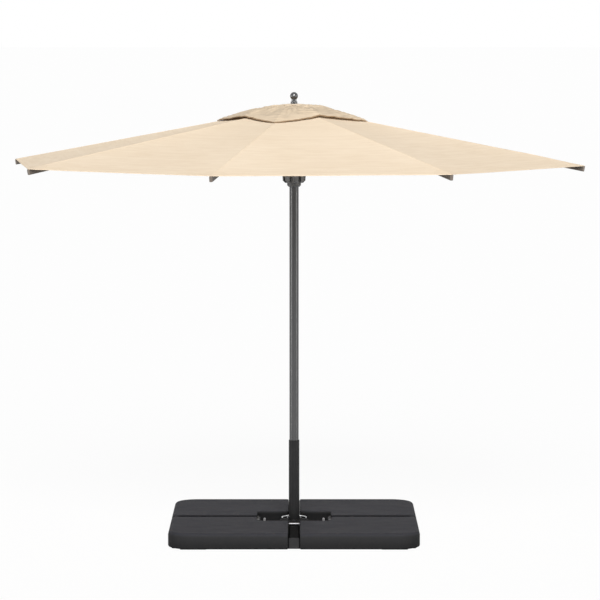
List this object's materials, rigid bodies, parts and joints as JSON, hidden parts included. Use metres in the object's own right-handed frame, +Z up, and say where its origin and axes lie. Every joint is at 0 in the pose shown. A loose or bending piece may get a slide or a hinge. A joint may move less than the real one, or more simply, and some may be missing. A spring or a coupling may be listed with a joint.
{
  "type": "patio umbrella with base",
  "caption": "Market-style patio umbrella: vented octagonal cloth canopy on folding ribs and struts with a sliding runner, on a mast clamped in a square base of ballast tanks.",
  "frame": {"origin": "on the floor, at the centre of the square base, on the mast's axis", "axes": "+Z up along the mast, -Y towards the front of the base, +X to the right seen from the front"},
  "size_m": [2.9314, 2.9314, 2.277],
  "materials": {
    "canopy_cloth": "matte",
    "dark_cloth": "matte",
    "anthracite_tube": "satin",
    "rib_tube": "satin",
    "black_nylon": "matte",
    "finial_black": "gloss",
    "pin_steel": "satin",
    "bright_steel": "polished",
    "black_coat": "satin",
    "tank_plastic": "matte",
    "cap_grey": "matte"
  },
  "bodies": {
    "base": {"cross_frame": "black_coat", "frame_end_caps": "cap_grey", "socket_tube": "black_coat", "base_fastenings": "bright_steel", "tank_front_left": "tank_plastic", "tank_front_right": "tank_plastic", "tank_back_left": "tank_plastic", "tank_back_right": "tank_plastic"},
    "mast": {"mast_tube": "anthracite_tube", "crown_hub": "black_nylon", "crown_pins": "pin_steel", "finial": "finial_black", "canopy_top_cap": "dark_cloth"},
    "clamp_knob": {"clamp_knob": "black_nylon"},
    "catch_button": {"catch_button": "pin_steel"},
    "runner": {"runner": "black_nylon"},
    "fill_cap_front_left": {"fill_cap_front_left": "black_nylon"},
    "fill_cap_front_right": {"fill_cap_front_right": "black_nylon"},
    "fill_cap_back_left": {"fill_cap_back_left": "black_nylon"},
    "fill_cap_back_right": {"fill_cap_back_right": "black_nylon"},
    "rib_1": {"rib_1": "rib_tube", "rib_fittings_1": "black_nylon"},
    "strut_1": {"strut_1": "anthracite_tube"},
    "canopy_1_left": {"canopy_1_left": "canopy_cloth"},
    "canopy_1_right": {"canopy_1_right": "canopy_cloth"},
    "rib_2": {"rib_2": "rib_tube", "rib_fittings_2": "black_nylon"},
    "strut_2": {"strut_2": "anthracite_tube"},
    "canopy_2_left": {"canopy_2_left": "canopy_cloth"},
    "canopy_2_right": {"canopy_2_right": "canopy_cloth"},
    "rib_3": {"rib_3": "rib_tube", "rib_fittings_3": "black_nylon"},
    "strut_3": {"strut_3": "anthracite_tube"},
    "canopy_3_left": {"canopy_3_left": "canopy_cloth"},
    "canopy_3_right": {"canopy_3_right": "canopy_cloth"},
    "rib_4": {"rib_4": "rib_tube", "rib_fittings_4": "black_nylon"},
    "strut_4": {"strut_4": "anthracite_tube"},
    "canopy_4_left": {"canopy_4_left": "canopy_cloth"},
    "canopy_4_right": {"canopy_4_right": "canopy_cloth"},
    "rib_5": {"rib_5": "rib_tube", "rib_fittings_5": "black_nylon"},
    "strut_5": {"strut_5": "anthracite_tube"},
    "canopy_5_left": {"canopy_5_left": "canopy_cloth"},
    "canopy_5_right": {"canopy_5_right": "canopy_cloth"},
    "rib_6": {"rib_6": "rib_tube", "rib_fittings_6": "black_nylon"},
    "strut_6": {"strut_6": "anthracite_tube"},
    "canopy_6_left": {"canopy_6_left": "canopy_cloth"},
    "canopy_6_right": {"canopy_6_right": "canopy_cloth"},
    "rib_7": {"rib_7": "rib_tube", "rib_fittings_7": "black_nylon"},
    "strut_7": {"strut_7": "anthracite_tube"},
    "canopy_7_left": {"canopy_7_left": "canopy_cloth"},
    "canopy_7_right": {"canopy_7_right": "canopy_cloth"},
    "rib_8": {"rib_8": "rib_tube", "rib_fittings_8": "black_nylon"},
    "strut_8": {"strut_8": "anthracite_tube"},
    "canopy_8_left": {"canopy_8_left": "canopy_cloth"},
    "canopy_8_right": {"canopy_8_right": "canopy_cloth"}
  },
  "joints": [
    {"name": "mast_lift", "type": "slide", "parent": "base", "child": "mast", "axis": [0, 0, 1], "range_m": [0, 0.4]},
    {"name": "clamp_knob_turn", "type": "hinge", "parent": "base", "child": "clamp_knob", "pos_m": [0, 0.0425, 0.433], "axis": [0, 1, 0], "range_deg": [0, 720]},
    {"name": "catch_press", "type": "slide", "parent": "mast", "child": "catch_button", "axis": [0, -1, 0], "range_m": [0, 0.0065], "stiffness_N_per_m": 600, "springref_m": -0.002},
    {"name": "runner_slide", "type": "slide", "parent": "mast", "child": "runner", "axis": [0, 0, -1], "range_m": [0, 1.1282]},
    {"name": "fill_cap_front_left_turn", "type": "hinge", "parent": "base", "child": "fill_cap_front_left", "pos_m": [-0.192, -0.103, 0.043], "axis": [1, 0, 0], "range_deg": [0, 720]},
    {"name": "fill_cap_front_right_turn", "type": "hinge", "parent": "base", "child": "fill_cap_front_right", "pos_m": [0.192, -0.103, 0.043], "axis": [-1, 0, 0], "range_deg": [0, 720]},
    {"name": "fill_cap_back_left_turn", "type": "hinge", "parent": "base", "child": "fill_cap_back_left", "pos_m": [-0.192, 0.103, 0.043], "axis": [1, 0, 0], "range_deg": [0, 720]},
    {"name": "fill_cap_back_right_turn", "type": "hinge", "parent": "base", "child": "fill_cap_back_right", "pos_m": [0.192, 0.103, 0.043], "axis": [-1, 0, 0], "range_deg": [0, 720]},
    {"name": "rib_1_fold", "type": "hinge", "parent": "mast", "child": "rib_1", "pos_m": [-0.0135, -0.05022, 2.174], "axis": [0.9657, -0.2597, 0], "range_deg": [0, 77.34]},
    {"name": "strut_1_fold", "type": "hinge", "parent": "rib_1", "child": "strut_1", "pos_m": [-0.19654, -0.73094, 2.01563], "axis": [-0.9657, 0.2597, 0], "range_deg": [0, 154.68]},
    {"name": "canopy_1_left_fold", "type": "hinge", "parent": "rib_1", "child": "canopy_1_left", "pos_m": [-0.19656, -0.73103, 2.05763], "axis": [0.2552, 0.9492, 0.184], "range_deg": [0, 67.31], "deforming": ["canopy_1_left"]},
    {"name": "canopy_1_right_fold", "type": "hinge", "parent": "rib_1", "child": "canopy_1_right", "pos_m": [-0.19656, -0.73103, 2.05763], "axis": [-0.2552, -0.9492, -0.184], "range_deg": [0, 67.31], "deforming": ["canopy_1_right"]},
    {"name": "rib_2_fold", "type": "hinge", "parent": "mast", "child": "rib_2", "pos_m": [0.02596, -0.04506, 2.174], "axis": [0.8665, 0.4992, 0], "range_deg": [0, 77.34]},
    {"name": "strut_2_fold", "type": "hinge", "parent": "rib_2", "child": "strut_2", "pos_m": [0.37788, -0.65582, 2.01563], "axis": [-0.8665, -0.4992, 0], "range_deg": [0, 154.68]},
    {"name": "canopy_2_left_fold", "type": "hinge", "parent": "rib_2", "child": "canopy_2_left", "pos_m": [0.37793, -0.65591, 2.05763], "axis": [-0.4907, 0.8517, 0.184], "range_deg": [0, 67.31], "deforming": ["canopy_2_left"]},
    {"name": "canopy_2_right_fold", "type": "hinge", "parent": "rib_2", "child": "canopy_2_right", "pos_m": [0.37793, -0.65591, 2.05763], "axis": [0.4907, -0.8517, -0.184], "range_deg": [0, 67.31], "deforming": ["canopy_2_right"]},
    {"name": "rib_3_fold", "type": "hinge", "parent": "mast", "child": "rib_3", "pos_m": [0.05022, -0.0135, 2.174], "axis": [0.2597, 0.9657, 0], "range_deg": [0, 77.34]},
    {"name": "strut_3_fold", "type": "hinge", "parent": "rib_3", "child": "strut_3", "pos_m": [0.73094, -0.19654, 2.01563], "axis": [-0.2597, -0.9657, 0], "range_deg": [0, 154.68]},
    {"name": "canopy_3_left_fold", "type": "hinge", "parent": "rib_3", "child": "canopy_3_left", "pos_m": [0.73103, -0.19656, 2.05763], "axis": [-0.9492, 0.2552, 0.184], "range_deg": [0, 67.31], "deforming": ["canopy_3_left"]},
    {"name": "canopy_3_right_fold", "type": "hinge", "parent": "rib_3", "child": "canopy_3_right", "pos_m": [0.73103, -0.19656, 2.05763], "axis": [0.9492, -0.2552, -0.184], "range_deg": [0, 67.31], "deforming": ["canopy_3_right"]},
    {"name": "rib_4_fold", "type": "hinge", "parent": "mast", "child": "rib_4", "pos_m": [0.04506, 0.02596, 2.174], "axis": [-0.4992, 0.8665, 0], "range_deg": [0, 77.34]},
    {"name": "strut_4_fold", "type": "hinge", "parent": "rib_4", "child": "strut_4", "pos_m": [0.65582, 0.37788, 2.01563], "axis": [0.4992, -0.8665, 0], "range_deg": [0, 154.68]},
    {"name": "canopy_4_left_fold", "type": "hinge", "parent": "rib_4", "child": "canopy_4_left", "pos_m": [0.65591, 0.37793, 2.05763], "axis": [-0.8517, -0.4907, 0.184], "range_deg": [0, 67.31], "deforming": ["canopy_4_left"]},
    {"name": "canopy_4_right_fold", "type": "hinge", "parent": "rib_4", "child": "canopy_4_right", "pos_m": [0.65591, 0.37793, 2.05763], "axis": [0.8517, 0.4907, -0.184], "range_deg": [0, 67.31], "deforming": ["canopy_4_right"]},
    {"name": "rib_5_fold", "type": "hinge", "parent": "mast", "child": "rib_5", "pos_m": [0.0135, 0.05022, 2.174], "axis": [-0.9657, 0.2597, 0], "range_deg": [0, 77.34]},
    {"name": "strut_5_fold", "type": "hinge", "parent": "rib_5", "child": "strut_5", "pos_m": [0.19654, 0.73094, 2.01563], "axis": [0.9657, -0.2597, 0], "range_deg": [0, 154.68]},
    {"name": "canopy_5_left_fold", "type": "hinge", "parent": "rib_5", "child": "canopy_5_left", "pos_m": [0.19656, 0.73103, 2.05763], "axis": [-0.2552, -0.9492, 0.184], "range_deg": [0, 67.31], "deforming": ["canopy_5_left"]},
    {"name": "canopy_5_right_fold", "type": "hinge", "parent": "rib_5", "child": "canopy_5_right", "pos_m": [0.19656, 0.73103, 2.05763], "axis": [0.2552, 0.9492, -0.184], "range_deg": [0, 67.31], "deforming": ["canopy_5_right"]},
    {"name": "rib_6_fold", "type": "hinge", "parent": "mast", "child": "rib_6", "pos_m": [-0.02596, 0.04506, 2.174], "axis": [-0.8665, -0.4992, 0], "range_deg": [0, 77.34]},
    {"name": "strut_6_fold", "type": "hinge", "parent": "rib_6", "child": "strut_6", "pos_m": [-0.37788, 0.65582, 2.01563], "axis": [0.8665, 0.4992, 0], "range_deg": [0, 154.68]},
    {"name": "canopy_6_left_fold", "type": "hinge", "parent": "rib_6", "child": "canopy_6_left", "pos_m": [-0.37793, 0.65591, 2.05763], "axis": [0.4907, -0.8517, 0.184], "range_deg": [0, 67.31], "deforming": ["canopy_6_left"]},
    {"name": "canopy_6_right_fold", "type": "hinge", "parent": "rib_6", "child": "canopy_6_right", "pos_m": [-0.37793, 0.65591, 2.05763], "axis": [-0.4907, 0.8517, -0.184], "range_deg": [0, 67.31], "deforming": ["canopy_6_right"]},
    {"name": "rib_7_fold", "type": "hinge", "parent": "mast", "child": "rib_7", "pos_m": [-0.05022, 0.0135, 2.174], "axis": [-0.2597, -0.9657, 0], "range_deg": [0, 77.34]},
    {"name": "strut_7_fold", "type": "hinge", "parent": "rib_7", "child": "strut_7", "pos_m": [-0.73094, 0.19654, 2.01563], "axis": [0.2597, 0.9657, 0], "range_deg": [0, 154.68]},
    {"name": "canopy_7_left_fold", "type": "hinge", "parent": "rib_7", "child": "canopy_7_left", "pos_m": [-0.73103, 0.19656, 2.05763], "axis": [0.9492, -0.2552, 0.184], "range_deg": [0, 67.31], "deforming": ["canopy_7_left"]},
    {"name": "canopy_7_right_fold", "type": "hinge", "parent": "rib_7", "child": "canopy_7_right", "pos_m": [-0.73103, 0.19656, 2.05763], "axis": [-0.9492, 0.2552, -0.184], "range_deg": [0, 67.31], "deforming": ["canopy_7_right"]},
    {"name": "rib_8_fold", "type": "hinge", "parent": "mast", "child": "rib_8", "pos_m": [-0.04506, -0.02596, 2.174], "axis": [0.4992, -0.8665, 0], "range_deg": [0, 77.34]},
    {"name": "strut_8_fold", "type": "hinge", "parent": "rib_8", "child": "strut_8", "pos_m": [-0.65582, -0.37788, 2.01563], "axis": [-0.4992, 0.8665, 0], "range_deg": [0, 154.68]},
    {"name": "canopy_8_left_fold", "type": "hinge", "parent": "rib_8", "child": "canopy_8_left", "pos_m": [-0.65591, -0.37793, 2.05763], "axis": [0.8517, 0.4907, 0.184], "range_deg": [0, 67.31], "deforming": ["canopy_8_left"]},
    {"name": "canopy_8_right_fold", "type": "hinge", "parent": "rib_8", "child": "canopy_8_right", "pos_m": [-0.65591, -0.37793, 2.05763], "axis": [-0.8517, -0.4907, -0.184], "range_deg": [0, 67.31], "deforming": ["canopy_8_right"]}
  ],
  "couplings": [
    {"joint": "rib_1_fold", "follows": "runner_slide", "rad_per_m": 1.1964},
    {"joint": "strut_1_fold", "follows": "runner_slide", "rad_per_m": 2.3928},
    {"joint": "canopy_1_left_fold", "follows": "runner_slide", "rad_per_m": 1.0413},
    {"joint": "canopy_1_right_fold", "follows": "runner_slide", "rad_per_m": 1.0413},
    {"joint": "rib_2_fold", "follows": "runner_slide", "rad_per_m": 1.1964},
    {"joint": "strut_2_fold", "follows": "runner_slide", "rad_per_m": 2.3928},
    {"joint": "canopy_2_left_fold", "follows": "runner_slide", "rad_per_m": 1.0413},
    {"joint": "canopy_2_right_fold", "follows": "runner_slide", "rad_per_m": 1.0413},
    {"joint": "rib_3_fold", "follows": "runner_slide", "rad_per_m": 1.1964},
    {"joint": "strut_3_fold", "follows": "runner_slide", "rad_per_m": 2.3928},
    {"joint": "canopy_3_left_fold", "follows": "runner_slide", "rad_per_m": 1.0413},
    {"joint": "canopy_3_right_fold", "follows": "runner_slide", "rad_per_m": 1.0413},
    {"joint": "rib_4_fold", "follows": "runner_slide", "rad_per_m": 1.1964},
    {"joint": "strut_4_fold", "follows": "runner_slide", "rad_per_m": 2.3928},
    {"joint": "canopy_4_left_fold", "follows": "runner_slide", "rad_per_m": 1.0413},
    {"joint": "canopy_4_right_fold", "follows": "runner_slide", "rad_per_m": 1.0413},
    {"joint": "rib_5_fold", "follows": "runner_slide", "rad_per_m": 1.1964},
    {"joint": "strut_5_fold", "follows": "runner_slide", "rad_per_m": 2.3928},
    {"joint": "canopy_5_left_fold", "follows": "runner_slide", "rad_per_m": 1.0413},
    {"joint": "canopy_5_right_fold", "follows": "runner_slide", "rad_per_m": 1.0413},
    {"joint": "rib_6_fold", "follows": "runner_slide", "rad_per_m": 1.1964},
    {"joint": "strut_6_fold", "follows": "runner_slide", "rad_per_m": 2.3928},
    {"joint": "canopy_6_left_fold", "follows": "runner_slide", "rad_per_m": 1.0413},
    {"joint": "canopy_6_right_fold", "follows": "runner_slide", "rad_per_m": 1.0413},
    {"joint": "rib_7_fold", "follows": "runner_slide", "rad_per_m": 1.1964},
    {"joint": "strut_7_fold", "follows": "runner_slide", "rad_per_m": 2.3928},
    {"joint": "canopy_7_left_fold", "follows": "runner_slide", "rad_per_m": 1.0413},
    {"joint": "canopy_7_right_fold", "follows": "runner_slide", "rad_per_m": 1.0413},
    {"joint": "rib_8_fold", "follows": "runner_slide", "rad_per_m": 1.1964},
    {"joint": "strut_8_fold", "follows": "runner_slide", "rad_per_m": 2.3928},
    {"joint": "canopy_8_left_fold", "follows": "runner_slide", "rad_per_m": 1.0413},
    {"joint": "canopy_8_right_fold", "follows": "runner_slide", "rad_per_m": 1.0413}
  ]
}
